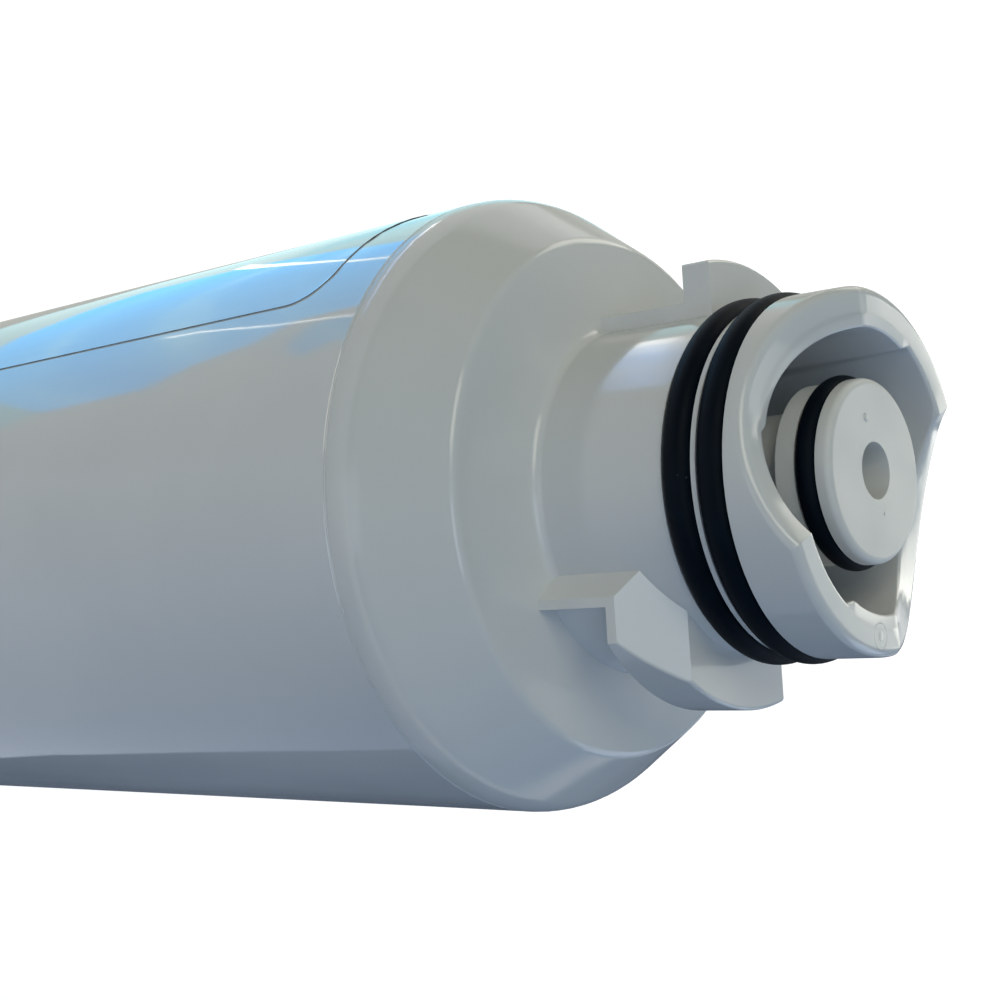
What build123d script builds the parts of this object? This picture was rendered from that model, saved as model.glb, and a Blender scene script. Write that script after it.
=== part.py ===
from build123d import *

import os
from math import atan2, cos, hypot, pi, radians, sin, tan

# Fridge water filter cartridge, in millimetres, standing on its grip end.
# The origin is the centre of the grip end's flat rim, and +Z runs up the axis to the nozzle.
# -Y is the side that faces the viewer in the photograph, with the picture's down side at +X.

# Housing, the long cup
body_radius = 28.0
body_draft = 0.23
seam_height = 188.0
wall = 2.8
floor_thickness = 3.0
rest_edge_fillet = 1.6

# Grip moulded into the closed end: two finger recesses beside a hollow bar
recess_depth = 17.0
recess_wall = 2.7
recess_draft = 3.0
recess_corner_fillet = 3.0
recess_ceiling_fillet = 2.0
bar_width = 9.0
bar_wall = 2.4

# Weld joint between the housing and the head
lip_thickness = 1.4
tongue_length = 6.0
weld_clearance = 0.1
seam_chamfer = 0.2

# Shoulder of the head, heights above the seam
shoulder_corner_height = 1.95
shoulder_fillet_share = 0.96
ring_radius = 22.9
ring_height = 9.4
ring_fillet = 1.1
neck_base_height = 10.8
neck_base_fillet = 1.0
ceiling_thickness = 3.0
hold_down_ribs = 6
hold_down_thickness = 1.6
web_inner_radius = 13.5
web_overlap = 0.35

# Neck and its open tip
neck_radius = 14.5
bore_radius = 11.0
mouth_radius = 12.3
mouth_taper_height = 20.0
tip_step = 0.4
rim_height = 34.5
rim_outer_fillet = 0.8
rim_inner_fillet = 0.35

# Valleys in the rim: each drops steeply from a corner and climbs gently back
valley_count = 2
valley_corner_angle = -67.0
valley_span_angle = 108.0
valley_depth = 3.65
valley_skew = 0.81
valley_steps = 12
valley_overhang = 1.5

# Neck seals, round rubber rings in square grooves
neck_seal_thickness = 2.62
neck_seal_radius = 13.98
first_seal_height = 24.7
neck_seal_pitch = 3.16
groove_clearance = 0.05

# Bayonet lugs, heights above the seam
lug_count = 2
flange_radius = 19.0
flange_bottom = 17.1
flange_top = 22.1
lead_face = 14.35
lead_edge = 0.9
tail_face = 3.6
tail_ramp_length = 4.6
tail_ramp_rise = 2.3
pad_step = 1.3
lug_root_angle = 28.0
lug_root_slant = 36.0
lug_rib_reach = 2.4
lug_rib_thickness = 0.8
lug_edge_fillet = 0.35

# Nozzle, heights above the seam
nozzle_face_height = 34.15
nozzle_disc_radius = 7.5
nozzle_disc_thickness = 1.3
nozzle_edge_fillet = 0.6
nozzle_collar_radius = 7.4
nozzle_collar_thickness = 1.7
nozzle_tube_radius = 5.4
outlet_radius = 2.33
outlet_length = 10.0
passage_radius = 3.4
nozzle_seal_thickness = 1.78
nozzle_seal_radius = 7.05
hub_radius = 9.0
hub_height = 12.0
fin_count = 4
fin_thickness = 1.4
fin_clearance = 0.2
fin_bottom = 8.6
fin_top = 19.4
fin_lead = 1.2

# Filter block and its end caps
water_gap = 1.6
cap_thickness = 2.4
cap_skirt = 1.3
cap_skirt_length = 6.0
cap_edge_chamfer = 0.5
bond_thickness = 0.8
layer_clearance = 0.1
fit_clearance = 0.15
net_thickness = 0.8
net_window_rows = 10
net_windows_around = 12
net_window_share = 0.72
wrap_thickness = 1.6
block_bore_radius = 5.5
core_thickness = 0.9
spigot_length = 7.0
centring_ribs = 6
centring_rib_height = 8.0
centring_rib_thickness = 1.4

# Label film
label_thickness = 0.12
label_clearance = 0.1
label_top_gap = 6.2
label_bottom = 30.0
label_start_angle = 24.7
label_span_angle = 205.0
label_corner_radius = 4.0

# Sizes that follow from the ones above
draft_slope = tan(radians(body_draft))
grip_radius = body_radius - seam_height * draft_slope
inner_radius_top = body_radius - wall
inner_radius_bottom = grip_radius - wall
lip_inner_radius = body_radius - lip_thickness
tongue_radius = lip_inner_radius - weld_clearance
recess_radius = grip_radius - recess_wall
floor_top = recess_depth + floor_thickness
cap_top = seam_height - tongue_length

cap_radius = inner_radius_bottom - water_gap
skirt_inner_radius = cap_radius - cap_skirt
net_radius = skirt_inner_radius - fit_clearance
wrap_radius = net_radius - net_thickness - layer_clearance
block_radius = wrap_radius - wrap_thickness - layer_clearance
core_radius = block_bore_radius - layer_clearance
spigot_radius = core_radius - core_thickness - fit_clearance
block_bottom = floor_top + cap_thickness + bond_thickness
block_top = cap_top - cap_thickness - bond_thickness
block_length = block_top - block_bottom

tip_radius = neck_radius + tip_step
groove_width = neck_seal_thickness + 2 * groove_clearance
groove_radius = neck_seal_radius - neck_seal_thickness / 2 - groove_clearance
second_seal_height = first_seal_height + neck_seal_pitch
tip_bottom = second_seal_height + groove_width / 2
valley_reach = tip_radius + valley_overhang
nozzle_groove_width = nozzle_seal_thickness + 2 * groove_clearance
nozzle_groove_radius = nozzle_seal_radius - nozzle_seal_thickness / 2 - groove_clearance
nozzle_seal_height = nozzle_face_height - nozzle_disc_thickness - nozzle_groove_width / 2
collar_top = nozzle_seal_height - nozzle_groove_width / 2

shoulder_turn = atan2(body_radius - ring_radius, ring_height - shoulder_corner_height)
shoulder_fillet_limit = (shoulder_corner_height - seam_chamfer) / tan(shoulder_turn / 2)
shoulder_fillet = shoulder_fillet_share * shoulder_fillet_limit

# The head, its seals and the nozzle cap are built with the weld seam at height zero, and raised last
weld_seam = Location((0, 0, seam_height))


def corner(section, x, y):
    return section.vertices().sort_by_distance((x, y, 0))[0]


def rim_edges(builder, low_radius, high_radius):
    lowest = rim_height - valley_depth - rim_outer_fillet / 2

    def on_rim(edge):
        ends = [(hypot(end.X, end.Y), end.Z) for end in edge.vertices()]
        return all(low_radius < reach < high_radius and height > lowest for reach, height in ends)

    return builder.edges().filter_by(on_rim)


def flange_edges(builder):
    def on_flange(edge):
        reaches = [hypot(end.X, end.Y) for end in edge.vertices()]
        above_ramp = edge.center().Z > flange_bottom + tail_ramp_rise
        return min(reaches) > flange_radius - lug_edge_fillet / 2 and above_ramp

    return builder.edges().filter_by(on_flange)


# Housing: a drafted cup with a step at its mouth for the head's tongue
with BuildPart() as housing:
    with BuildSketch(Plane.XZ) as housing_section:
        with BuildLine():
            Polyline(
                (0, 0),
                (grip_radius, 0),
                (body_radius, seam_height),
                (lip_inner_radius, seam_height),
                (lip_inner_radius, cap_top),
                (inner_radius_top, cap_top),
                (inner_radius_bottom, floor_top),
                (0, floor_top),
                close=True,
            )
        make_face()
        fillet(corner(housing_section, grip_radius, 0), rest_edge_fillet)
        chamfer(corner(housing_section, body_radius, seam_height), seam_chamfer)
    revolve(axis=Axis.Z)

    # Two finger recesses, D-shaped in plan, with the bar between them
    with BuildSketch(Plane.XY) as recesses:
        Circle(recess_radius)
        Rectangle(2 * recess_radius, bar_width, mode=Mode.SUBTRACT)
        fillet(recesses.vertices(), recess_corner_fillet)
    extrude(amount=recess_depth, taper=recess_draft, mode=Mode.SUBTRACT)
    fillet(
        housing.edges().filter_by_position(Axis.Z, recess_depth - 0.01, recess_depth + 0.01),
        recess_ceiling_fillet,
    )

    # The bar is hollow from inside
    with BuildSketch(Plane.XY.offset(bar_wall)):
        SlotOverall(2 * recess_radius, bar_width - 2 * bar_wall)
    extrude(amount=floor_top - bar_wall, mode=Mode.SUBTRACT)

    # Ribs that centre the lower cap
    rib_inner = cap_radius + fit_clearance
    rib_length = inner_radius_bottom + wall / 2 - rib_inner
    with BuildSketch(Plane.XY.offset(floor_top)):
        with PolarLocations(rib_inner + rib_length / 2, centring_ribs):
            Rectangle(rib_length, centring_rib_thickness)
    extrude(amount=centring_rib_height)


# One bayonet lug, on the +X side. Its two ends are flat faces across Y.
# The leading face meets the neck in a slanted root, and carries a thin rib down to the shoulder.
lug_root_x = neck_radius * sin(radians(lug_root_angle))
lug_root_y = -neck_radius * cos(radians(lug_root_angle))
rib_corner_x = lug_root_x + lug_rib_reach * cos(radians(lug_root_slant))
lug_far = 2 * flange_radius
lug_inner_radius = (neck_radius + bore_radius) / 2
pad_radius = neck_radius + pad_step
chamfer_reach = flange_top - flange_bottom - lead_edge
lug_outline = [
    (lug_root_x, lug_root_y),
    (rib_corner_x, -lead_face),
    (lug_far, -lead_face),
    (lug_far, tail_face),
    (lug_root_x, tail_face),
]

with BuildPart() as lug:
    with BuildSketch(Plane.XY.offset(flange_bottom)):
        with BuildLine():
            Polyline(*lug_outline, close=True)
        make_face()
        Circle(flange_radius, mode=Mode.INTERSECT)
        Circle(lug_inner_radius, mode=Mode.SUBTRACT)
    extrude(amount=flange_top - flange_bottom)

    # Ramp under the trailing end
    with BuildSketch(Plane.YZ):
        with BuildLine():
            Polyline(
                (tail_face - tail_ramp_length, flange_bottom),
                (tail_face, flange_bottom + tail_ramp_rise),
                (tail_face, flange_bottom),
                close=True,
            )
        make_face()
    extrude(amount=lug_far, mode=Mode.SUBTRACT)

    # Raised pad on the neck behind the flange
    with BuildSketch(Plane.XY.offset(ring_height)):
        with BuildLine():
            Polyline(*lug_outline, close=True)
        make_face()
        Circle(pad_radius, mode=Mode.INTERSECT)
        Circle(lug_inner_radius, mode=Mode.SUBTRACT)
    extrude(amount=flange_bottom + tail_ramp_rise - ring_height)

    # Thin rib from the leading face down to the shoulder
    with BuildSketch(Plane.XY.offset(ring_height)):
        with BuildLine():
            Polyline(
                (lug_root_x, lug_root_y),
                (rib_corner_x, -lead_face),
                (rib_corner_x + lug_rib_thickness, -lead_face),
                (rib_corner_x + lug_rib_thickness, lug_root_y + pad_step),
                (lug_root_x, lug_root_y + pad_step),
                close=True,
            )
        make_face()
        Circle(lug_inner_radius, mode=Mode.SUBTRACT)
    extrude(amount=flange_bottom - ring_height)

    # Chamfer across the leading end's front face
    with BuildSketch(Plane.YZ):
        with BuildLine():
            Polyline(
                (-lead_face, flange_bottom + lead_edge),
                (-lead_face + chamfer_reach, flange_top),
                (-lead_face, flange_top),
                close=True,
            )
        make_face()
    extrude(amount=lug_far, mode=Mode.SUBTRACT)
    fillet(flange_edges(lug), lug_edge_fillet)


# Head: shoulder, neck, grooves and tip are one turned section
with BuildPart() as head:
    with BuildSketch(Plane.XZ) as head_section:
        with BuildLine():
            Polyline(
                (bore_radius, neck_base_height - ceiling_thickness),
                (ring_radius - ceiling_thickness, ring_height - ceiling_thickness),
                (inner_radius_top, 0),
                (inner_radius_top, -tongue_length),
                (tongue_radius, -tongue_length),
                (tongue_radius, 0),
                (body_radius, 0),
                (body_radius, shoulder_corner_height),
                (ring_radius, ring_height),
                (neck_radius, neck_base_height),
                (neck_radius, tip_bottom),
                (tip_radius, tip_bottom),
                (tip_radius, rim_height),
                (mouth_radius, rim_height),
                (bore_radius, mouth_taper_height),
                close=True,
            )
        make_face()
        for seal_height in (first_seal_height, second_seal_height):
            with Locations((tip_radius, seal_height)):
                Rectangle(2 * (tip_radius - groove_radius), groove_width, mode=Mode.SUBTRACT)
        chamfer(corner(head_section, body_radius, 0), seam_chamfer)
        fillet(corner(head_section, body_radius, shoulder_corner_height), shoulder_fillet)
        fillet(corner(head_section, ring_radius, ring_height), ring_fillet)
        fillet(corner(head_section, neck_radius, neck_base_height), neck_base_fillet)
    revolve(axis=Axis.Z)

    # Valleys in the rim: a ruled surface from a curve inside the wall to one outside it
    valley_inner = []
    valley_outer = []
    for step in range(valley_steps + 1):
        share = step / valley_steps
        height = rim_height - valley_depth * sin(pi * share**valley_skew)
        angle = radians(valley_corner_angle - valley_span_angle * share)
        valley_inner.append((bore_radius * cos(angle), bore_radius * sin(angle), height))
        valley_outer.append((valley_reach * cos(angle), valley_reach * sin(angle), height))
    valley_floor = Face.make_surface_from_curves(Spline(*valley_inner), Spline(*valley_outer))
    valley = extrude(valley_floor, amount=2 * valley_depth, dir=(0, 0, 1), mode=Mode.PRIVATE)
    with PolarLocations(0, valley_count):
        add(valley, mode=Mode.SUBTRACT)

    fillet(rim_edges(head, tip_radius - 0.05, tip_radius + 0.05), rim_outer_fillet)
    fillet(rim_edges(head, bore_radius, mouth_radius + 0.05), rim_inner_fillet)

    with PolarLocations(0, lug_count):
        add(lug.part)

    # Webs under the shoulder that hold the nozzle cap down
    with BuildSketch(Plane.XZ):
        with BuildLine():
            Polyline(
                (web_inner_radius, -tongue_length),
                (inner_radius_top + web_overlap, -tongue_length),
                (inner_radius_top + web_overlap, 0),
                (ring_radius - ceiling_thickness, ring_height - ceiling_thickness / 2),
                (web_inner_radius, neck_base_height - ceiling_thickness / 2),
                close=True,
            )
        make_face()
    web = extrude(amount=hold_down_thickness / 2, both=True, mode=Mode.PRIVATE)
    with PolarLocations(0, hold_down_ribs):
        add(web)


# Rubber rings
with BuildPart() as neck_seal_lower:
    with BuildSketch(Plane.XZ):
        with Locations((neck_seal_radius, first_seal_height)):
            Circle(neck_seal_thickness / 2)
    revolve(axis=Axis.Z)

with BuildPart() as neck_seal_upper:
    with BuildSketch(Plane.XZ):
        with Locations((neck_seal_radius, second_seal_height)):
            Circle(neck_seal_thickness / 2)
    revolve(axis=Axis.Z)

with BuildPart() as nozzle_seal:
    with BuildSketch(Plane.XZ):
        with Locations((nozzle_seal_radius, nozzle_seal_height)):
            Circle(nozzle_seal_thickness / 2)
    revolve(axis=Axis.Z)


# Nozzle cap: a skirted disc, a flared hub and the tube that ends in the nozzle
cap_under = -tongue_length - cap_thickness
with BuildPart() as nozzle_cap:
    with BuildSketch(Plane.XZ) as nozzle_section:
        with BuildLine():
            Polyline(
                (passage_radius, cap_under - spigot_length),
                (spigot_radius, cap_under - spigot_length),
                (spigot_radius, cap_under),
                (skirt_inner_radius, cap_under),
                (skirt_inner_radius, cap_under - cap_skirt_length),
                (cap_radius, cap_under - cap_skirt_length),
                (cap_radius, -tongue_length),
                (hub_radius, -tongue_length),
                (nozzle_tube_radius, hub_height - tongue_length),
                (nozzle_tube_radius, collar_top - nozzle_collar_thickness),
                (nozzle_collar_radius, collar_top - nozzle_collar_thickness),
                (nozzle_collar_radius, collar_top),
                (nozzle_groove_radius, collar_top),
                (nozzle_groove_radius, collar_top + nozzle_groove_width),
                (nozzle_disc_radius, collar_top + nozzle_groove_width),
                (nozzle_disc_radius, nozzle_face_height),
                (outlet_radius, nozzle_face_height),
                (outlet_radius, nozzle_face_height - outlet_length),
                (passage_radius, nozzle_face_height - outlet_length - passage_radius + outlet_radius),
                close=True,
            )
        make_face()
        fillet(corner(nozzle_section, nozzle_disc_radius, nozzle_face_height), nozzle_edge_fillet)
        chamfer(corner(nozzle_section, cap_radius, -tongue_length), cap_edge_chamfer)
    revolve(axis=Axis.Z)

    # Fins that centre the tube in the neck's bore
    with BuildSketch(Plane.XZ):
        with BuildLine():
            Polyline(
                (nozzle_tube_radius - fin_thickness / 2, fin_bottom),
                (bore_radius - fin_clearance, fin_bottom),
                (bore_radius - fin_clearance, fin_top - fin_lead),
                (bore_radius - fin_clearance - fin_lead, fin_top),
                (nozzle_tube_radius - fin_thickness / 2, fin_top),
                close=True,
            )
        make_face()
    fin = extrude(amount=fin_thickness / 2, both=True, mode=Mode.PRIVATE)
    with PolarLocations(0, fin_count):
        add(fin)


# Lower cap: the same skirted disc with a blind spigot
with BuildPart() as lower_cap:
    with BuildSketch(Plane.XZ) as lower_section:
        with BuildLine():
            Polyline(
                (0, floor_top),
                (cap_radius, floor_top),
                (cap_radius, floor_top + cap_thickness + cap_skirt_length),
                (skirt_inner_radius, floor_top + cap_thickness + cap_skirt_length),
                (skirt_inner_radius, floor_top + cap_thickness),
                (spigot_radius, floor_top + cap_thickness),
                (spigot_radius, floor_top + cap_thickness + spigot_length),
                (0, floor_top + cap_thickness + spigot_length),
                close=True,
            )
        make_face()
        chamfer(corner(lower_section, cap_radius, floor_top), cap_edge_chamfer)
    revolve(axis=Axis.Z)


# Hot-melt rings between the caps and the block's ends
with BuildPart() as lower_bond:
    with BuildSketch(Plane.XY.offset(floor_top + cap_thickness)):
        Circle(skirt_inner_radius - layer_clearance)
        Circle(spigot_radius + layer_clearance, mode=Mode.SUBTRACT)
    extrude(amount=bond_thickness)

with BuildPart() as upper_bond:
    with BuildSketch(Plane.XY.offset(block_top)):
        Circle(skirt_inner_radius - layer_clearance)
        Circle(spigot_radius + layer_clearance, mode=Mode.SUBTRACT)
    extrude(amount=bond_thickness)


# The block and the sleeves around and inside it
with BuildPart() as carbon_block:
    with BuildSketch(Plane.XY.offset(block_bottom)):
        Circle(block_radius)
        Circle(block_bore_radius, mode=Mode.SUBTRACT)
    extrude(amount=block_length)

with BuildPart() as core_sleeve:
    with BuildSketch(Plane.XY.offset(block_bottom)):
        Circle(core_radius)
        Circle(core_radius - core_thickness, mode=Mode.SUBTRACT)
    extrude(amount=block_length)

with BuildPart() as prefilter_wrap:
    with BuildSketch(Plane.XY.offset(block_bottom)):
        Circle(wrap_radius)
        Circle(wrap_radius - wrap_thickness, mode=Mode.SUBTRACT)
    extrude(amount=block_length)

net_window_width = net_window_share * 2 * pi * net_radius / net_windows_around
net_row_pitch = (block_length - 2 * cap_skirt_length) / net_window_rows
with BuildPart() as outer_net:
    with BuildSketch(Plane.XY.offset(block_bottom)):
        Circle(net_radius)
        Circle(net_radius - net_thickness, mode=Mode.SUBTRACT)
    extrude(amount=block_length)
    for row in range(net_window_rows):
        row_height = block_bottom + cap_skirt_length + (row + 0.5) * net_row_pitch
        with BuildSketch(Plane.XY.offset(row_height - net_window_share * net_row_pitch / 2)):
            with PolarLocations(net_radius, net_windows_around):
                Rectangle(4 * net_thickness, net_window_width)
        extrude(amount=net_window_share * net_row_pitch, mode=Mode.SUBTRACT)


# Bare label film, rolled to the barrel's draft
label_angle = radians(label_start_angle)
label_plane = Plane(
    origin=(0, 0, 0),
    x_dir=(cos(label_angle), sin(label_angle), 0),
    z_dir=(sin(label_angle), -cos(label_angle), 0),
)
label_top = seam_height - label_top_gap
label_radius_bottom = grip_radius + label_bottom * draft_slope + label_clearance
label_radius_top = grip_radius + label_top * draft_slope + label_clearance
with BuildPart() as label:
    with BuildSketch(label_plane):
        with BuildLine():
            Polyline(
                (label_radius_bottom, label_bottom),
                (label_radius_bottom + label_thickness, label_bottom),
                (label_radius_top + label_thickness, label_top),
                (label_radius_top, label_top),
                close=True,
            )
        make_face()
    revolve(axis=Axis.Z, revolution_arc=label_span_angle)
    for end_angle, inward in ((label_start_angle, 1), (label_start_angle + label_span_angle, -1)):
        outward_x = cos(radians(end_angle))
        outward_y = sin(radians(end_angle))
        for end_height, along in ((label_top, -1), (label_bottom, 1)):
            corner_plane = Plane(
                origin=(body_radius * outward_x, body_radius * outward_y, end_height),
                x_dir=(-inward * outward_y, inward * outward_x, 0),
                z_dir=(inward * outward_x, inward * outward_y, 0),
            )
            with BuildSketch(corner_plane):
                Rectangle(2 * label_corner_radius, 2 * label_corner_radius)
                with Locations((label_corner_radius, along * label_corner_radius)):
                    Circle(label_corner_radius, mode=Mode.SUBTRACT)
            extrude(amount=label_corner_radius, both=True, mode=Mode.SUBTRACT)


pieces = {
    "housing": housing.part,
    "head": head.part.moved(weld_seam),
    "neck_seal_lower": neck_seal_lower.part.moved(weld_seam),
    "neck_seal_upper": neck_seal_upper.part.moved(weld_seam),
    "nozzle_cap": nozzle_cap.part.moved(weld_seam),
    "nozzle_seal": nozzle_seal.part.moved(weld_seam),
    "carbon_block": carbon_block.part,
    "core_sleeve": core_sleeve.part,
    "prefilter_wrap": prefilter_wrap.part,
    "outer_net": outer_net.part,
    "lower_cap": lower_cap.part,
    "lower_bond": lower_bond.part,
    "upper_bond": upper_bond.part,
    "label": label.part,
}
os.makedirs("parts", exist_ok=True)
for name, solid in pieces.items():
    solid.label = name
    export_step(solid, f"parts/{name}.step")
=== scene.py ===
import math
import bmesh
import bpy
from mathutils import Matrix, Vector
from mathutils.bvhtree import BVHTree


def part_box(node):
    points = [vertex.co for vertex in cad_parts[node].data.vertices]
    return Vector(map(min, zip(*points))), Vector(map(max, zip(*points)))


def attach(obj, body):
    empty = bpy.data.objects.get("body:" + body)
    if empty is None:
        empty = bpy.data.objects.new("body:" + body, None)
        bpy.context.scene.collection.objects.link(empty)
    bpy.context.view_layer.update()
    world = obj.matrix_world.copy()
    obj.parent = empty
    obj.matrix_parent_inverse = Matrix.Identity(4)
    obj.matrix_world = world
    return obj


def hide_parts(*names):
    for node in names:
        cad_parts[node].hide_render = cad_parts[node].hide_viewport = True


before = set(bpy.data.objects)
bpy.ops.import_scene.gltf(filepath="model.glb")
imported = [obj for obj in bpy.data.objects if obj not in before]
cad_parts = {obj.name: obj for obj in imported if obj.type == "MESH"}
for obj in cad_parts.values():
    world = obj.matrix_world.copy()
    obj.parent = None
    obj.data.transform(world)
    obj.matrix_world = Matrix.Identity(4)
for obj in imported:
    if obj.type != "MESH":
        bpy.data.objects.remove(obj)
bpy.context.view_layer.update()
print("frame loaded")

# The weld seam's height, found from the bottom of the lower neck seal
mm = 0.001
sealOverSeam = 23.39 * mm
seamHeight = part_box("neck_seal_lower")[0].z - sealOverSeam

mergeDistance = 1e-7
copyMergeDistance = 2e-7


# Shading helpers
def newMaterial(name):
    material = bpy.data.materials.new(name)
    material.use_nodes = True
    tree = material.node_tree
    shader = next(n for n in tree.nodes if n.type == "BSDF_PRINCIPLED")
    return material, tree, shader


def emptyMaterial(name):
    material = bpy.data.materials.new(name)
    material.use_nodes = True
    tree = material.node_tree
    tree.nodes.clear()
    out = tree.nodes.new("ShaderNodeOutputMaterial")
    return material, tree, out.inputs["Surface"]


def setOrLink(tree, socket, value):
    if isinstance(value, bpy.types.NodeSocket):
        tree.links.new(value, socket)
    else:
        socket.default_value = value


def objectPattern(tree, stretch=(1, 1, 1)):
    place = tree.nodes.new("ShaderNodeTexCoord")
    mapping = tree.nodes.new("ShaderNodeMapping")
    mapping.inputs["Scale"].default_value = stretch
    tree.links.new(place.outputs["Object"], mapping.inputs["Vector"])
    return mapping.outputs["Vector"]


def noise(tree, vector, scale, detail=3.0, rough=0.5, distortion=0.0):
    node = tree.nodes.new("ShaderNodeTexNoise")
    node.inputs["Scale"].default_value = scale
    node.inputs["Detail"].default_value = detail
    node.inputs["Roughness"].default_value = rough
    node.inputs["Distortion"].default_value = distortion
    tree.links.new(vector, node.inputs["Vector"])
    return node.outputs["Fac"]


def spots(tree, vector, scale):
    node = tree.nodes.new("ShaderNodeTexVoronoi")
    node.inputs["Scale"].default_value = scale
    tree.links.new(vector, node.inputs["Vector"])
    return node.outputs["Distance"]


def ramp(tree, value, stops):
    node = tree.nodes.new("ShaderNodeValToRGB")
    tree.links.new(value, node.inputs["Fac"])
    tones = node.color_ramp.elements
    while len(tones) < len(stops):
        tones.new(0.5)
    for tone, (at, colour) in zip(tones, stops):
        tone.position = at
        tone.color = (*colour, 1)
    return node.outputs["Color"]


def twoTones(tree, value, span, low, high):
    return ramp(tree, value, [(span[0], low), (span[1], high)])


def spread(tree, value, low, high, fromLow=0.3, fromHigh=0.7):
    node = tree.nodes.new("ShaderNodeMapRange")
    node.inputs["From Min"].default_value = fromLow
    node.inputs["From Max"].default_value = fromHigh
    node.inputs["To Min"].default_value = low
    node.inputs["To Max"].default_value = high
    tree.links.new(value, node.inputs["Value"])
    return node.outputs["Result"]


def combine(tree, operation, first, second):
    node = tree.nodes.new("ShaderNodeMath")
    node.operation = operation
    setOrLink(tree, node.inputs[0], first)
    setOrLink(tree, node.inputs[1], second)
    return node.outputs[0]


def blendColour(tree, factor, first, second, kind="MIX"):
    node = tree.nodes.new("ShaderNodeMix")
    node.data_type = "RGBA"
    node.blend_type = kind
    setOrLink(tree, node.inputs[0], factor)
    for socket, value in ((6, first), (7, second)):
        setOrLink(tree, node.inputs[socket], (*value, 1) if isinstance(value, tuple) else value)
    return node.outputs[2]


def addBump(tree, shader, layers):
    previous = None
    for height, distance, strength in layers:
        node = tree.nodes.new("ShaderNodeBump")
        node.inputs["Distance"].default_value = distance
        node.inputs["Strength"].default_value = strength
        tree.links.new(height, node.inputs["Height"])
        if previous is not None:
            tree.links.new(previous, node.inputs["Normal"])
        previous = node.outputs["Normal"]
    tree.links.new(previous, shader.inputs["Normal"])


# Finishes, in the greys that match the photograph under the lamps below. A pattern is a noise's
# scale, detail, roughness and distortion, and a span or a rough is a low and a high end
glossBase = {
    "mottle": (34, 4, 0.55),
    "mottleSpan": (0.32, 0.68),
    "drawnOut": (1, 1, 0.07),
    "streaks": (520, 5, 0.6, 0.4),
    "streakSpan": (0.35, 0.75),
    "streakTint": 0.10,
    "streakStrength": 0.35,
    "peel": (420, 2, 0.5),
    "peelDepth": 0.000008,
    "peelStrength": 0.5,
    "index": 1.5,
    "coat": 0.35,
    "coatRough": 0.06,
}
shellLook = glossBase | {
    "pale": (0.64, 0.65, 0.655),
    "deep": (0.585, 0.60, 0.615),
    "rough": (0.05, 0.10),
    "streakDepth": 0.000006,
}
filmFinish = glossBase | {
    "pale": (0.645, 0.655, 0.665),
    "deep": (0.595, 0.61, 0.625),
    "rough": (0.03, 0.07),
    "streakDepth": 0.000004,
}


def makeGlossy(name, look):
    material, tree, shader = newMaterial(name)
    even = objectPattern(tree)
    mottle = noise(tree, even, *look["mottle"])
    streaks = noise(tree, objectPattern(tree, look["drawnOut"]), *look["streaks"])
    peel = noise(tree, even, *look["peel"])
    ground = twoTones(tree, mottle, look["mottleSpan"], look["deep"], look["pale"])
    faint = spread(tree, streaks, 0.0, look["streakTint"], *look["streakSpan"])
    colour = blendColour(tree, faint, ground, look["deep"])
    tree.links.new(colour, shader.inputs["Base Color"])
    tree.links.new(spread(tree, streaks, *look["rough"]), shader.inputs["Roughness"])
    shader.inputs["IOR"].default_value = look["index"]
    shader.inputs["Coat Weight"].default_value = look["coat"]
    shader.inputs["Coat Roughness"].default_value = look["coatRough"]
    addBump(tree, shader, [
        (peel, look["peelDepth"], look["peelStrength"]),
        (streaks, look["streakDepth"], look["streakStrength"]),
    ])
    return material


satinBase = {
    "mottle": (60, 4, 0.5),
    "mottleSpan": (0.30, 0.70),
    "cloud": (16, 3, 0.55, 0.3),
    "cloudTint": 0.35,
    "soft": (240, 3, 0.5),
    "softStrength": 0.4,
    "grain": (2600, 2, 0.6),
    "grainShare": 0.3,
    "grainStrength": 0.5,
    "index": 1.49,
    "scatter": 0.12,
    "scatterReach": (0.0012, 0.0011, 0.001),
    "scatterScale": 1.0,
}
headLook = satinBase | {
    "pale": (0.645, 0.65, 0.645),
    "deep": (0.615, 0.623, 0.622),
    "rough": (0.10, 0.16),
    "softDepth": 0.000008,
}
nozzleLook = satinBase | {
    "pale": (0.66, 0.66, 0.64),
    "deep": (0.61, 0.61, 0.595),
    "rough": (0.40, 0.52),
    "softDepth": 0.00003,
}


def makeSatin(name, look):
    material, tree, shader = newMaterial(name)
    even = objectPattern(tree)
    mottle = noise(tree, even, *look["mottle"])
    cloud = noise(tree, even, *look["cloud"])
    grain = noise(tree, even, *look["grain"])
    soft = noise(tree, even, *look["soft"])
    ground = twoTones(tree, mottle, look["mottleSpan"], look["deep"], look["pale"])
    colour = blendColour(tree, spread(tree, cloud, 0.0, look["cloudTint"]), ground, look["deep"])
    tree.links.new(colour, shader.inputs["Base Color"])
    tree.links.new(spread(tree, soft, *look["rough"]), shader.inputs["Roughness"])
    shader.inputs["IOR"].default_value = look["index"]
    shader.inputs["Subsurface Weight"].default_value = look["scatter"]
    shader.inputs["Subsurface Radius"].default_value = look["scatterReach"]
    shader.inputs["Subsurface Scale"].default_value = look["scatterScale"]
    addBump(tree, shader, [
        (soft, look["softDepth"], look["softStrength"]),
        (grain, look["softDepth"] * look["grainShare"], look["grainStrength"]),
    ])
    return material


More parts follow.
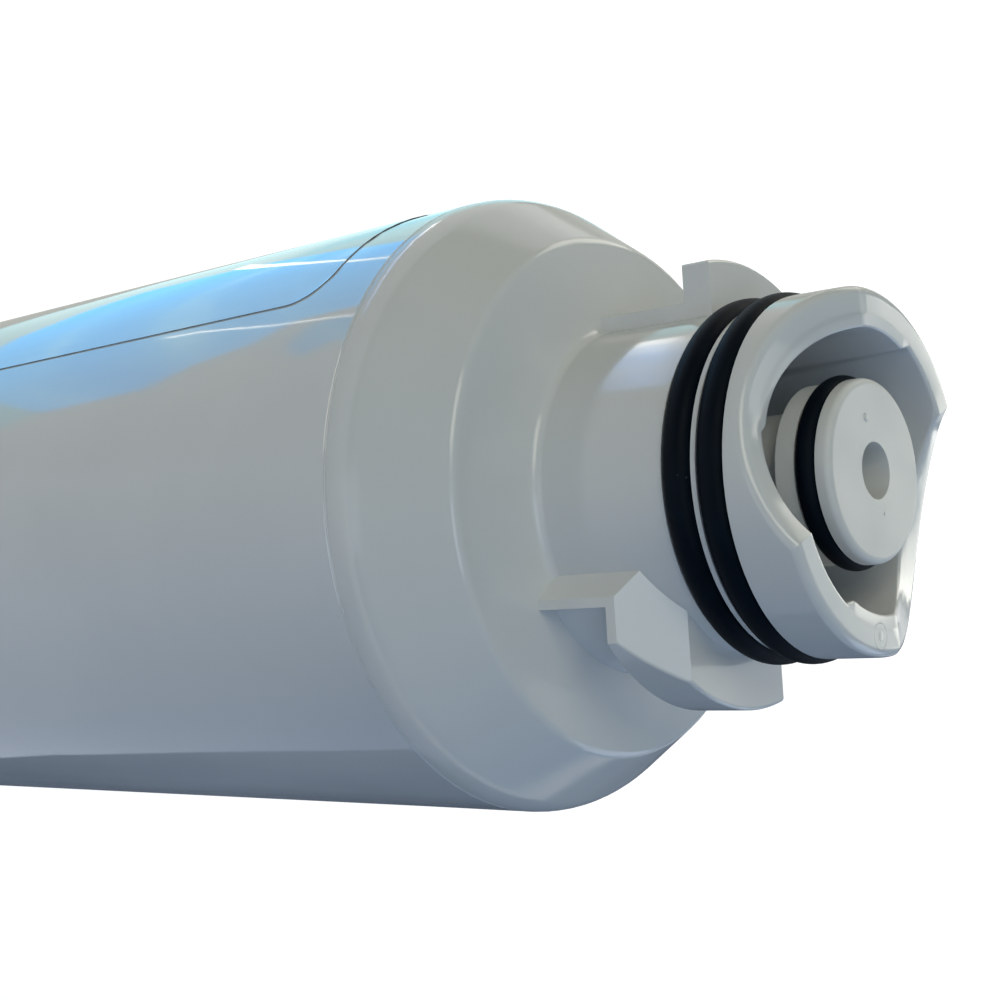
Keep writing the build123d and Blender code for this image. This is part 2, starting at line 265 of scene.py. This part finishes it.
rubberLook = {
    "dark": (0.0010, 0.0035, 0.0075),
    "pale": (0.0025, 0.0060, 0.0115),
    "bloom": (260, 4, 0.6),
    "bloomSpan": (0.42, 0.75),
    "rough": (0.42, 0.58),
    "grain": (3200, 2, 0.6),
    "grainDepth": 0.00003,
    "grainStrength": 0.35,
    "dust": (0.08, 0.09, 0.10),
    "dustScale": 900,
    "dustSpan": (0.05, 0.09),
    "patches": (95, 2, 0.5),
    "patchSpan": (0.60, 0.66),
    "index": 1.35,
    "specular": 0.1,
}


def makeRubber(name, look):
    material, tree, shader = newMaterial(name)
    even = objectPattern(tree)
    bloom = noise(tree, even, *look["bloom"])
    grain = noise(tree, even, *look["grain"])
    ground = twoTones(tree, bloom, look["bloomSpan"], look["dark"], look["pale"])
    dust = spots(tree, even, look["dustScale"])
    specks = twoTones(tree, dust, look["dustSpan"], (1, 1, 1), (0, 0, 0))
    thin = noise(tree, even, *look["patches"])
    patches = twoTones(tree, thin, look["patchSpan"], (0, 0, 0), (1, 1, 1))
    kept = blendColour(tree, 1.0, specks, patches, "MULTIPLY")
    tree.links.new(blendColour(tree, kept, ground, look["dust"]), shader.inputs["Base Color"])
    tree.links.new(spread(tree, bloom, *look["rough"]), shader.inputs["Roughness"])
    shader.inputs["IOR"].default_value = look["index"]
    shader.inputs["Specular IOR Level"].default_value = look["specular"]
    addBump(tree, shader, [(grain, look["grainDepth"], look["grainStrength"])])
    return material


grainyBase = {
    "stretch": (1, 1, 1),
    "fine": (5, 0.65),
    "fineSpan": (0.35, 0.65),
    "fineStrength": 0.6,
    "broad": (3, 0.5),
    "broadShare": 0.1,
    "broadTint": 0.4,
    "roughRise": 0.12,
}
# The film's cut edge: a dark bluish painted shade standing in for the shadow in the gap under the
# edge
labelEdgeShadeLook = grainyBase | {
    "dark": (0.16, 0.22, 0.30),
    "pale": (0.26, 0.33, 0.42),
    "scale": 900,
    "depth": 0.00001,
    "roughFrom": 0.4,
}


def makeGrainy(name, look):
    material, tree, shader = newMaterial(name)
    pattern = objectPattern(tree, look["stretch"])
    fine = noise(tree, pattern, look["scale"], *look["fine"])
    broad = noise(tree, pattern, look["scale"] * look["broadShare"], *look["broad"])
    ground = twoTones(tree, fine, look["fineSpan"], look["dark"], look["pale"])
    colour = blendColour(tree, spread(tree, broad, 0.0, look["broadTint"]), ground, look["dark"])
    rough = spread(tree, fine, look["roughFrom"], look["roughFrom"] + look["roughRise"])
    tree.links.new(colour, shader.inputs["Base Color"])
    tree.links.new(rough, shader.inputs["Roughness"])
    addBump(tree, shader, [(fine, look["depth"], look["fineStrength"])])
    return material


shellPlastic = makeGlossy("shell_plastic", shellLook)
headPlastic = makeSatin("head_plastic", headLook)
nozzlePlastic = makeSatin("nozzle_plastic", nozzleLook)
sealRubber = makeRubber("seal_rubber", rubberLook)
labelFilm = makeGlossy("label_film", filmFinish)
labelEdgeShade = makeGrainy("label_edge_painted_shade", labelEdgeShadeLook)

innerLooks = {
    "carbon_block": {
        "material": "carbon_grain",
        "dark": (0.010, 0.010, 0.011),
        "pale": (0.035, 0.035, 0.037),
        "scale": 1500,
        "depth": 0.0002,
        "roughFrom": 0.8,
    },
    "core_sleeve": {
        "material": "core_plastic",
        "dark": (0.70, 0.70, 0.68),
        "pale": (0.80, 0.80, 0.78),
        "scale": 1200,
        "depth": 0.00005,
        "roughFrom": 0.55,
    },
    "prefilter_wrap": {
        "material": "wrap_fibre",
        "dark": (0.72, 0.72, 0.70),
        "pale": (0.86, 0.86, 0.84),
        "scale": 700,
        "depth": 0.0003,
        "roughFrom": 0.85,
        "stretch": (1, 1, 0.15),
    },
    "outer_net": {
        "material": "net_plastic",
        "dark": (0.74, 0.75, 0.76),
        "pale": (0.82, 0.83, 0.84),
        "scale": 800,
        "depth": 0.00004,
        "roughFrom": 0.4,
    },
    "lower_cap": {
        "material": "cap_plastic",
        "dark": (0.74, 0.75, 0.75),
        "pale": (0.82, 0.82, 0.82),
        "scale": 600,
        "depth": 0.00003,
        "roughFrom": 0.4,
    },
    "lower_bond": {
        "material": "bond_glue",
        "dark": (0.62, 0.58, 0.45),
        "pale": (0.76, 0.72, 0.60),
        "scale": 500,
        "depth": 0.00006,
        "roughFrom": 0.3,
    },
}
innerFinishes = {}
for node, look in innerLooks.items():
    innerFinishes[node] = makeGrainy(look["material"], grainyBase | look)
innerFinishes["upper_bond"] = innerFinishes["lower_bond"]
print("finishes made")


# Shape helpers
def finishPiece(name, mesh, materials, replaced=()):
    piece = bpy.data.objects.new(name, mesh)
    bpy.context.scene.collection.objects.link(piece)
    for material in materials:
        mesh.materials.append(material)
    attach(piece, "root")
    if replaced:
        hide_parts(*replaced)
    return piece


def meshFrom(name, shape):
    mesh = bpy.data.meshes.new(name)
    shape.to_mesh(mesh)
    shape.free()
    return mesh


def wholeOf(shape):
    return shape.verts[:] + shape.edges[:] + shape.faces[:]


def smoothShading(shape, hardAngle=None):
    for face in shape.faces:
        face.smooth = True
    if hardAngle is not None:
        for edge in shape.edges:
            edge.smooth = edge.is_manifold and edge.calc_face_angle(0) < math.radians(hardAngle)


def spinRound(shape, geometry, angle, steps, closed):
    bmesh.ops.spin(shape, geom=geometry, cent=(0, 0, 0), axis=(0, 0, 1), dvec=(0, 0, 0),
                   angle=angle, steps=steps, use_merge=closed, use_duplicate=False)


def spinRing(look, height):
    shape = bmesh.new()
    circle = bmesh.ops.create_circle(shape, segments=look["sides"], radius=look["thick"])
    upright = Matrix.Rotation(math.radians(90), 4, "X")
    place = Matrix.Translation((look["radius"], 0, height)) @ upright
    bmesh.ops.transform(shape, verts=circle["verts"], matrix=place)
    spinRound(shape, wholeOf(shape), math.tau, look["steps"], True)
    bmesh.ops.remove_doubles(shape, verts=shape.verts, dist=mergeDistance)
    return shape


def smoothCopy(name, look):
    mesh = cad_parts[look["node"]].data.copy()
    mesh.materials.clear()
    shape = bmesh.new()
    shape.from_mesh(mesh)
    bmesh.ops.remove_doubles(shape, verts=shape.verts, dist=copyMergeDistance)
    smoothShading(shape, look["hardAngle"])
    shape.to_mesh(mesh)
    shape.free()
    piece = finishPiece(name, mesh, look["materials"], [look["node"]])
    weighted = piece.modifiers.new("weighted", "WEIGHTED_NORMAL")
    weighted.keep_sharp = True
    weighted.weight = 50
    return piece


# Lobes that thicken the mouth's wall between its two pockets
mouthLook = {
    "inner": 11.5 * mm,
    "outer": 12.8 * mm,
    "low": 21.0 * mm,
    "rim": 34.5 * mm,
    "slope": 0.5 / 14.5,
    "footReach": 0.1 * mm,
    "footHeight": 0.2 * mm,
    "startAngle": -34.5,
    "spanAngle": 112.5,
    "steps": 90,
    "endAngle": 7.0,
    "endFrom": 1.0 * mm,
    "wall": 12.36 * mm,
    "wallSlack": 0.02 * mm,
    "cornerAngle": -67.0,
    "valleySpan": 108.0,
    "valleyDepth": 3.65 * mm,
    "skew": 0.81,
    "lift": -0.008 * mm,
    "rimSlack": 0.01 * mm,
    "edge": 0.3 * mm,
    "edgeFrom": 2.0 * mm,
    "edgeSteps": 3,
    "hardAngle": 24,
}


def rimDrop(angle, look):
    share = ((look["cornerAngle"] - angle) % 180) / look["valleySpan"]
    return look["valleyDepth"] * math.sin(math.pi * share ** look["skew"]) if share < 1 else 0.0


def addLobes(piece, look):
    shape = bmesh.new()
    start = math.radians(look["startAngle"])
    section = (
        (0.0, look["rim"]),
        (look["outer"] - look["inner"], look["rim"]),
        (look["footReach"], look["low"] + look["footHeight"]),
        (0.0, look["low"]),
    )
    corners = []
    for reach, height in section:
        radius = look["inner"] - (look["rim"] - height) * look["slope"] + reach
        corners.append(shape.verts.new((radius * math.cos(start), radius * math.sin(start), height)))
    shape.faces.new(corners)
    spinRound(shape, wholeOf(shape), math.radians(look["spanAngle"]), look["steps"], False)
    bmesh.ops.remove_doubles(shape, verts=shape.verts, dist=mergeDistance)

    # Both ends run into the wall, and the top drops along the rim's valleys
    endAngle = look["startAngle"] + look["spanAngle"]
    for vert in shape.verts:
        angle = math.degrees(math.atan2(vert.co.y, vert.co.x))
        reach = math.hypot(vert.co.x, vert.co.y)
        near = min(angle - look["startAngle"], endAngle - angle) / look["endAngle"]
        if near < 1 and reach < look["wall"] and vert.co.z > look["low"] + look["endFrom"]:
            grow = 1 - near * near * (3 - 2 * near)
            vert.co.xy *= (reach + (look["wall"] - reach) * grow) / reach
        if vert.co.z > look["rim"] - look["rimSlack"]:
            drop = rimDrop(angle, look)
            pull = 1 - drop * look["slope"] / math.hypot(vert.co.x, vert.co.y)
            vert.co = (vert.co.x * pull, vert.co.y * pull, vert.co.z - drop + look["lift"])
    bmesh.ops.recalc_face_normals(shape, faces=shape.faces)

    edgeLow = look["low"] + look["edgeFrom"]
    edgeReach = look["wall"] + look["wallSlack"]
    crest = [edge for edge in shape.edges
             if all(vert.co.z > edgeLow and math.hypot(vert.co.x, vert.co.y) < edgeReach
                    for vert in edge.verts)]
    bmesh.ops.bevel(shape, geom=crest, offset=look["edge"], segments=look["edgeSteps"], profile=0.5,
                    affect="EDGES", material=-1, clamp_overlap=True)
    twin = bmesh.ops.duplicate(shape, geom=wholeOf(shape))
    twinVerts = [one for one in twin["geom"] if isinstance(one, bmesh.types.BMVert)]
    halfTurn = Matrix.Rotation(math.pi, 3, "Z")
    bmesh.ops.rotate(shape, verts=twinVerts, cent=(0, 0, 0), matrix=halfTurn)
    bmesh.ops.translate(shape, verts=shape.verts, vec=(0, 0, seamHeight))
    smoothShading(shape, look["hardAngle"])
    shape.from_mesh(piece.data)
    shape.to_mesh(piece.data)
    shape.free()


# Edges that turn by a copy's hardAngle or more stay sharp
copies = {
    "shell": {
        "node": "housing",
        "materials": [shellPlastic],
        "slot": "housing_plastic",
        "hardAngle": 24,
    },
    "twist_head": {
        "node": "head",
        "materials": [headPlastic],
        "slot": "head_plastic",
        "hardAngle": 24,
    },
    "nozzle": {
        "node": "nozzle_cap",
        "materials": [nozzlePlastic],
        "slot": "nozzle_plastic",
        "hardAngle": 24,
    },
    "seal_lower": {
        "node": "neck_seal_lower",
        "materials": [sealRubber],
        "slot": "seal_rubber",
        "hardAngle": 60,
    },
    "seal_upper": {
        "node": "neck_seal_upper",
        "materials": [sealRubber],
        "slot": "seal_rubber",
        "hardAngle": 60,
    },
    "seal_nozzle": {
        "node": "nozzle_seal",
        "materials": [sealRubber],
        "slot": "seal_rubber",
        "hardAngle": 60,
    },
    "film": {
        "node": "label",
        "materials": [labelFilm, labelEdgeShade],
        "slot": "label_film",
        "hardAngle": 30,
    },
}
pieces = {name: smoothCopy(name, look) for name, look in copies.items()}
addLobes(pieces["twist_head"], mouthLook)

# The film is drawn thinner than the CAD's, and its cut edge carries a dark painted shade
filmLook = {"seamRadius": 28.0 * mm, "draft": 0.23, "share": 0.4, "edgeFacing": 0.7}
film = pieces["film"].data
filmSlope = math.tan(math.radians(filmLook["draft"]))
for vert in film.vertices:
    barrel = filmLook["seamRadius"] - (seamHeight - vert.co.z) * filmSlope
    reach = math.hypot(vert.co.x, vert.co.y)
    if reach > barrel:
        vert.co.xy *= (barrel + (reach - barrel) * filmLook["share"]) / reach
for face in film.polygons:
    outward = Vector((face.center.x, face.center.y, 0)).normalized()
    if abs(face.normal.dot(outward)) < filmLook["edgeFacing"]:
        face.material_index = 1
print("smooth pieces made")

weldLook = {"radius": 27.88 * mm, "thick": 0.13 * mm, "sides": 10, "steps": 256}
weldShape = spinRing(weldLook, seamHeight)
bmesh.ops.recalc_face_normals(weldShape, faces=weldShape.faces)
smoothShading(weldShape)
finishPiece("weld_bead", meshFrom("weld_bead", weldShape), [headPlastic])

for node, material in innerFinishes.items():
    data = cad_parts[node].data
    data.materials.clear()
    data.materials.append(material)
print("trims and inner pieces finished")


# Floor, cards and lamps
def makeFloorMaterial(look):
    material, tree, surface = emptyMaterial("floor_paper")
    paper = tree.nodes.new("ShaderNodeBsdfDiffuse")
    paper.inputs["Color"].default_value = (*look["paper"], 1)
    glow = tree.nodes.new("ShaderNodeEmission")
    path = tree.nodes.new("ShaderNodeLightPath").outputs
    seen = combine(tree, "MAXIMUM", path["Is Camera Ray"], path["Is Glossy Ray"])
    seen = combine(tree, "MAXIMUM", seen, path["Is Transmission Ray"])
    level = combine(tree, "MULTIPLY", seen, look["glow"])
    reach = tree.nodes.new("ShaderNodeVectorMath")
    reach.operation = "LENGTH"
    tree.links.new(objectPattern(tree), reach.inputs[0])
    far = spread(tree, reach.outputs["Value"], 0.0, look["farGlow"], *look["farSpan"])
    farSeen = combine(tree, "MULTIPLY", far, path["Is Camera Ray"])
    tree.links.new(combine(tree, "ADD", level, farSeen), glow.inputs["Strength"])
    both = tree.nodes.new("ShaderNodeAddShader")
    tree.links.new(paper.outputs[0], both.inputs[0])
    tree.links.new(glow.outputs[0], both.inputs[1])
    tree.links.new(both.outputs[0], surface)
    return material


floorLook = {
    "radius": 3.0,
    "sides": 96,
    "paper": (0.36, 0.36, 0.36),
    "glow": 0.84,
    "farGlow": 0.16,
    "farSpan": (0.3, 0.8),
}
floorShape = bmesh.new()
bmesh.ops.create_circle(floorShape, cap_ends=True, segments=floorLook["sides"],
                        radius=floorLook["radius"])
floor = bpy.data.objects.new("floor", meshFrom("floor", floorShape))
bpy.context.scene.collection.objects.link(floor)
floor.data.materials.append(makeFloorMaterial(floorLook))


# A studio card lies just above the floor, and only reflections show it
def softCard(name, look):
    material, tree, surface = emptyMaterial(name)
    glow = tree.nodes.new("ShaderNodeEmission")
    if "along" in look:
        axis, low, high = look["along"]
        parts = tree.nodes.new("ShaderNodeSeparateXYZ")
        tree.links.new(objectPattern(tree), parts.inputs[0])
        pattern = spread(tree, parts.outputs[axis], 0.0, 1.0, low * mm, high * mm)
    else:
        stretched = objectPattern(tree, look["stretch"])
        pattern = noise(tree, stretched, look["grain"], *look["cloud"])
    tree.links.new(ramp(tree, pattern, look["tones"]), glow.inputs["Color"])
    glow.inputs["Strength"].default_value = look["level"]
    tree.links.new(glow.outputs[0], surface)
    shape = bmesh.new()
    corners = [shape.verts.new((x * mm, y * mm, look["height"] * mm)) for x, y in look["corners"]]
    if "turn" in look:
        edge = shape.edges.new(corners)
        spinRound(shape, corners + [edge], math.radians(look["turn"]), look["steps"], False)
    else:
        shape.faces.new(corners)
    card = bpy.data.objects.new(name, meshFrom(name, shape))
    card.data.materials.append(material)
    bpy.context.scene.collection.objects.link(card)
    card.visible_camera = False
    card.visible_diffuse = False
    card.visible_shadow = False
    card.visible_transmission = False


cardBase = {"height": 3.0, "stretch": (1, 1, 1), "grain": 60, "cloud": (3, 0.55, 0.3)}
skyTones = [(0.30, (0.10, 0.49, 1.0)), (0.58, (0.15, 0.55, 1.0)), (0.74, (0.34, 0.72, 1.0))]
cards = {
    "card_sky": {
        "corners": [(-104, -76), (-131, -80), (-151, -66), (-172, -60), (-190, -38), (-262, -40),
                    (-262, 104), (-127, 104), (-106, 80)],
        "level": 2.5,
        "stretch": (1, 0.12, 1),
        "tones": skyTones,
    },
    "card_glare": {
        "corners": [(-104, -76), (-106, 80), (-127, 104), (-262, 104), (-300, 300), (-84, 300),
                    (-84, -76)],
        "level": 1.3,
        "stretch": (1, 0.2, 1),
        "grain": 20,
        "tones": [(0.30, (0.38, 0.84, 1.0)), (0.55, (0.66, 0.96, 1.0)), (0.80, (0.92, 1.0, 1.0))],
    },
    "card_outline": {
        "corners": [(-84, -20), (-84, 300), (-300, 300), (-500, 900), (-10, 900), (-10, 60)],
        "level": 1.32,
        "grain": 9,
        "tones": [(0.35, (0.36, 0.37, 0.34)), (0.65, (0.46, 0.47, 0.44))],
    },
    "card_wedge": {
        "corners": [(-177, -78), (-194, -50), (-209, -56), (-204, -102), (-190, -84), (-172, -96)],
        "level": 1.8,
        "stretch": (1, 0.12, 1),
        "tones": skyTones,
    },
    "card_line_low": {
        "corners": [(-152, -18.5), (-178, -31.8), (-208, -54), (-208, -56.5), (-178, -34.2),
                    (-152, -20.5)],
        "height": 4.0,
        "level": 5.0,
        "tones": [(0.0, (0.9, 0.97, 1.0)), (1.0, (0.9, 0.97, 1.0))],
    },
    "card_line_high": {
        "corners": [(-120, 108), (-177, 80.5), (-220, 52), (-220, 49), (-177, 76), (-120, 101)],
        "height": 4.0,
        "level": 3.0,
        "tones": [(0.0, (0.9, 1.0, 1.0)), (1.0, (0.9, 1.0, 1.0))],
    },
    "card_window": {
        "corners": [(-262, 139), (-285, 151)],
        "turn": 48.0,
        "steps": 48,
        "level": 6.0,
        "along": ("Y", -107.0, 190.0),
        "tones": [(0.0, (0.34, 0.52, 0.92)), (0.27, (0.38, 0.58, 1.0)), (0.29, (1.0, 1.0, 1.0)),
                  (0.31, (0.36, 0.56, 0.96)), (0.60, (0.42, 0.62, 1.0)), (0.62, (1.0, 1.0, 1.0)),
                  (0.64, (0.45, 0.66, 1.0)), (0.80, (1.0, 1.0, 1.0))],
    },
    "card_ground": {
        "corners": [(-60, -700), (900, -700), (900, 20), (-60, 20)],
        "level": 1.18,
        "along": ("X", -60.0, 200.0),
        "tones": [(0.0, (0.95, 0.97, 0.97)), (0.45, (0.72, 0.78, 0.88)), (1.0, (0.34, 0.40, 0.52))],
    },
    "card_shade": {
        "corners": [(20, 20), (900, 20), (900, 900), (20, 900)],
        "level": 0.61,
        "grain": 9,
        "tones": [(0.35, (0.10, 0.125, 0.17)), (0.65, (0.18, 0.22, 0.29))],
    },
}
for name, look in cards.items():
    softCard(name, cardBase | look)

# Room light: dim, warm towards -X, bluer and brighter towards +X, plain overhead
worldLook = {
    "cream": (0.18, 0.165, 0.09),
    "shade": (0.175, 0.282, 0.48),
    "overhead": (0.11, 0.163, 0.20),
    "acrossSpan": (-0.6, 0.8),
    "upwardSpan": (0.15, 0.85),
}
world = bpy.data.worlds.new("studio")
bpy.context.scene.world = world
world.use_nodes = True
skyTree = world.node_tree
skyTree.nodes.clear()
worldOut = skyTree.nodes.new("ShaderNodeOutputWorld")
direction = skyTree.nodes.new("ShaderNodeTexCoord")
parts = skyTree.nodes.new("ShaderNodeSeparateXYZ")
skyTree.links.new(direction.outputs["Generated"], parts.inputs[0])
across = spread(skyTree, parts.outputs["X"], 0.0, 1.0, *worldLook["acrossSpan"])
upward = spread(skyTree, parts.outputs["Z"], 0.0, 1.0, *worldLook["upwardSpan"])
sides = blendColour(skyTree, across, worldLook["cream"], worldLook["shade"])
room = blendColour(skyTree, upward, sides, worldLook["overhead"])
lit = skyTree.nodes.new("ShaderNodeBackground")
skyTree.links.new(room, lit.inputs["Color"])
plain = skyTree.nodes.new("ShaderNodeBackground")
plain.inputs["Color"].default_value = (1, 1, 1, 1)
worldPath = skyTree.nodes.new("ShaderNodeLightPath")
worldMix = skyTree.nodes.new("ShaderNodeMixShader")
skyTree.links.new(worldPath.outputs["Is Camera Ray"], worldMix.inputs[0])
skyTree.links.new(lit.outputs[0], worldMix.inputs[1])
skyTree.links.new(plain.outputs[0], worldMix.inputs[2])
skyTree.links.new(worldMix.outputs[0], worldOut.inputs["Surface"])


def softLamp(name, look):
    data = bpy.data.lights.new(name, "AREA")
    data.shape = "RECTANGLE"
    data.size, data.size_y = look["size"]
    data.energy = look["radiance"] * math.pi * look["size"][0] * look["size"][1]
    data.color = look["colour"]
    lamp = bpy.data.objects.new(name, data)
    bpy.context.scene.collection.objects.link(lamp)
    lamp.location = look["place"]
    aim = Vector(look["target"]) - Vector(look["place"])
    lamp.rotation_euler = aim.to_track_quat("-Z", "Y").to_euler()
    lamp.visible_camera = False


lampBase = {"target": (0, 0, 0.19), "size": (0.42, 0.42)}
lamps = {
    "key": {"place": (-0.40, -0.45, 0.80), "radiance": 3.44, "colour": (1.0, 0.96, 0.77)},
    "back": {"place": (0.05, 0.75, 0.84), "radiance": 1.19, "colour": (1.0, 1.0, 0.94)},
    "back_low": {"place": (0.0, 0.90, 0.45), "radiance": 3.36, "colour": (1.0, 0.983, 0.883)},
    "camera_top": {"place": (0.15, -0.60, 0.85), "radiance": 2.40, "colour": (0.734, 0.853, 1.0)},
    "front_low": {"place": (0.0, -0.90, 0.25), "radiance": 0.95, "colour": (0.79, 0.89, 1.0)},
    "back_right": {"place": (0.60, 0.60, 0.50), "radiance": 1.59, "colour": (0.70, 0.81, 1.0)},
    "back_left": {"place": (-0.60, 0.60, 0.40), "radiance": 2.53, "colour": (1.0, 0.978, 0.90)},
}
for name, look in lamps.items():
    softLamp(name, lampBase | look)
print("floor, cards and lamps set")

# Camera at the photograph's angle: the picture's up side is -X
cameraView = {
    "place": (0.00757, -0.12694, 0.28800),
    "right": (0.06078, 0.63832, 0.76737),
    "up": (-0.99688, 0.0, 0.07896),
    "back": (0.05040, -0.76977, 0.63633),
    "lens": 63.10,
    "sensor": 36,
    "picture": 1000,
    "clipStart": 0.005,
    "clipEnd": 20,
}
cameraData = bpy.data.cameras.new("camera")
cameraData.lens = cameraView["lens"]
cameraData.sensor_width = cameraView["sensor"]
cameraData.clip_start = cameraView["clipStart"]
cameraData.clip_end = cameraView["clipEnd"]
camera = bpy.data.objects.new("camera", cameraData)
bpy.context.scene.collection.objects.link(camera)
turned = Matrix((cameraView["right"], cameraView["up"], cameraView["back"])).transposed()
camera.matrix_world = Matrix.Translation(cameraView["place"]) @ turned.to_4x4()
bpy.context.scene.camera = camera
bpy.context.scene.view_settings.view_transform = "Standard"


# Small moulding marks, set where the photograph shows them
def surfaceAt(piece, across, down):
    reach = cameraView["lens"] / cameraView["sensor"] * cameraView["picture"]
    middle = cameraView["picture"] / 2
    sideways = Vector(cameraView["right"]) * (across - middle) / reach
    upwards = Vector(cameraView["up"]) * (middle - down) / reach
    aim = (sideways + upwards - Vector(cameraView["back"])).normalized()
    shape = bmesh.new()
    shape.from_mesh(piece.data)
    place, normal, _, _ = BVHTree.FromBMesh(shape).ray_cast(Vector(cameraView["place"]), aim)
    shape.free()
    return place, normal


def placeMark(name, shape, look):
    place, normal = surfaceAt(pieces[look["on"]], look["across"], look["down"])
    bmesh.ops.recalc_face_normals(shape, faces=shape.faces)
    facing = normal.to_track_quat("Z", "Y").to_matrix().to_4x4()
    bmesh.ops.transform(shape, verts=shape.verts, matrix=Matrix.Translation(place) @ facing)
    smoothShading(shape)
    under = copies[look["on"]]
    finishPiece(name, meshFrom(name, shape), under["materials"])


pipSides = 32
pipRings = 16
pips = {
    "face_pip": {
        "on": "nozzle",
        "across": 866,
        "down": 417,
        "radius": 0.36 * mm,
        "high": 0.10 * mm,
    },
    "face_dot": {
        "on": "nozzle",
        "across": 885,
        "down": 514,
        "radius": 0.16 * mm,
        "high": 0.05 * mm,
    },
    "gate_pip": {
        "on": "twist_head",
        "across": 881,
        "down": 636,
        "radius": 0.40 * mm,
        "high": 0.015 * mm,
    },
}
for name, look in pips.items():
    pip = bmesh.new()
    bmesh.ops.create_uvsphere(pip, u_segments=pipSides, v_segments=pipRings, radius=look["radius"])
    bmesh.ops.scale(pip, vec=(1, 1, look["high"] / look["radius"]), verts=pip.verts)
    placeMark(name, pip, look)

gateRing = {
    "on": "twist_head",
    "across": 881,
    "down": 636,
    "radius": 1.05 * mm,
    "thick": 0.06 * mm,
    "sides": 8,
    "steps": 48,
    "flat": 0.25,
}
ring = spinRing(gateRing, 0)
bmesh.ops.scale(ring, vec=(1, 1, gateRing["flat"]), verts=ring.verts)
placeMark("gate_ring", ring, gateRing)
print("marks placed")
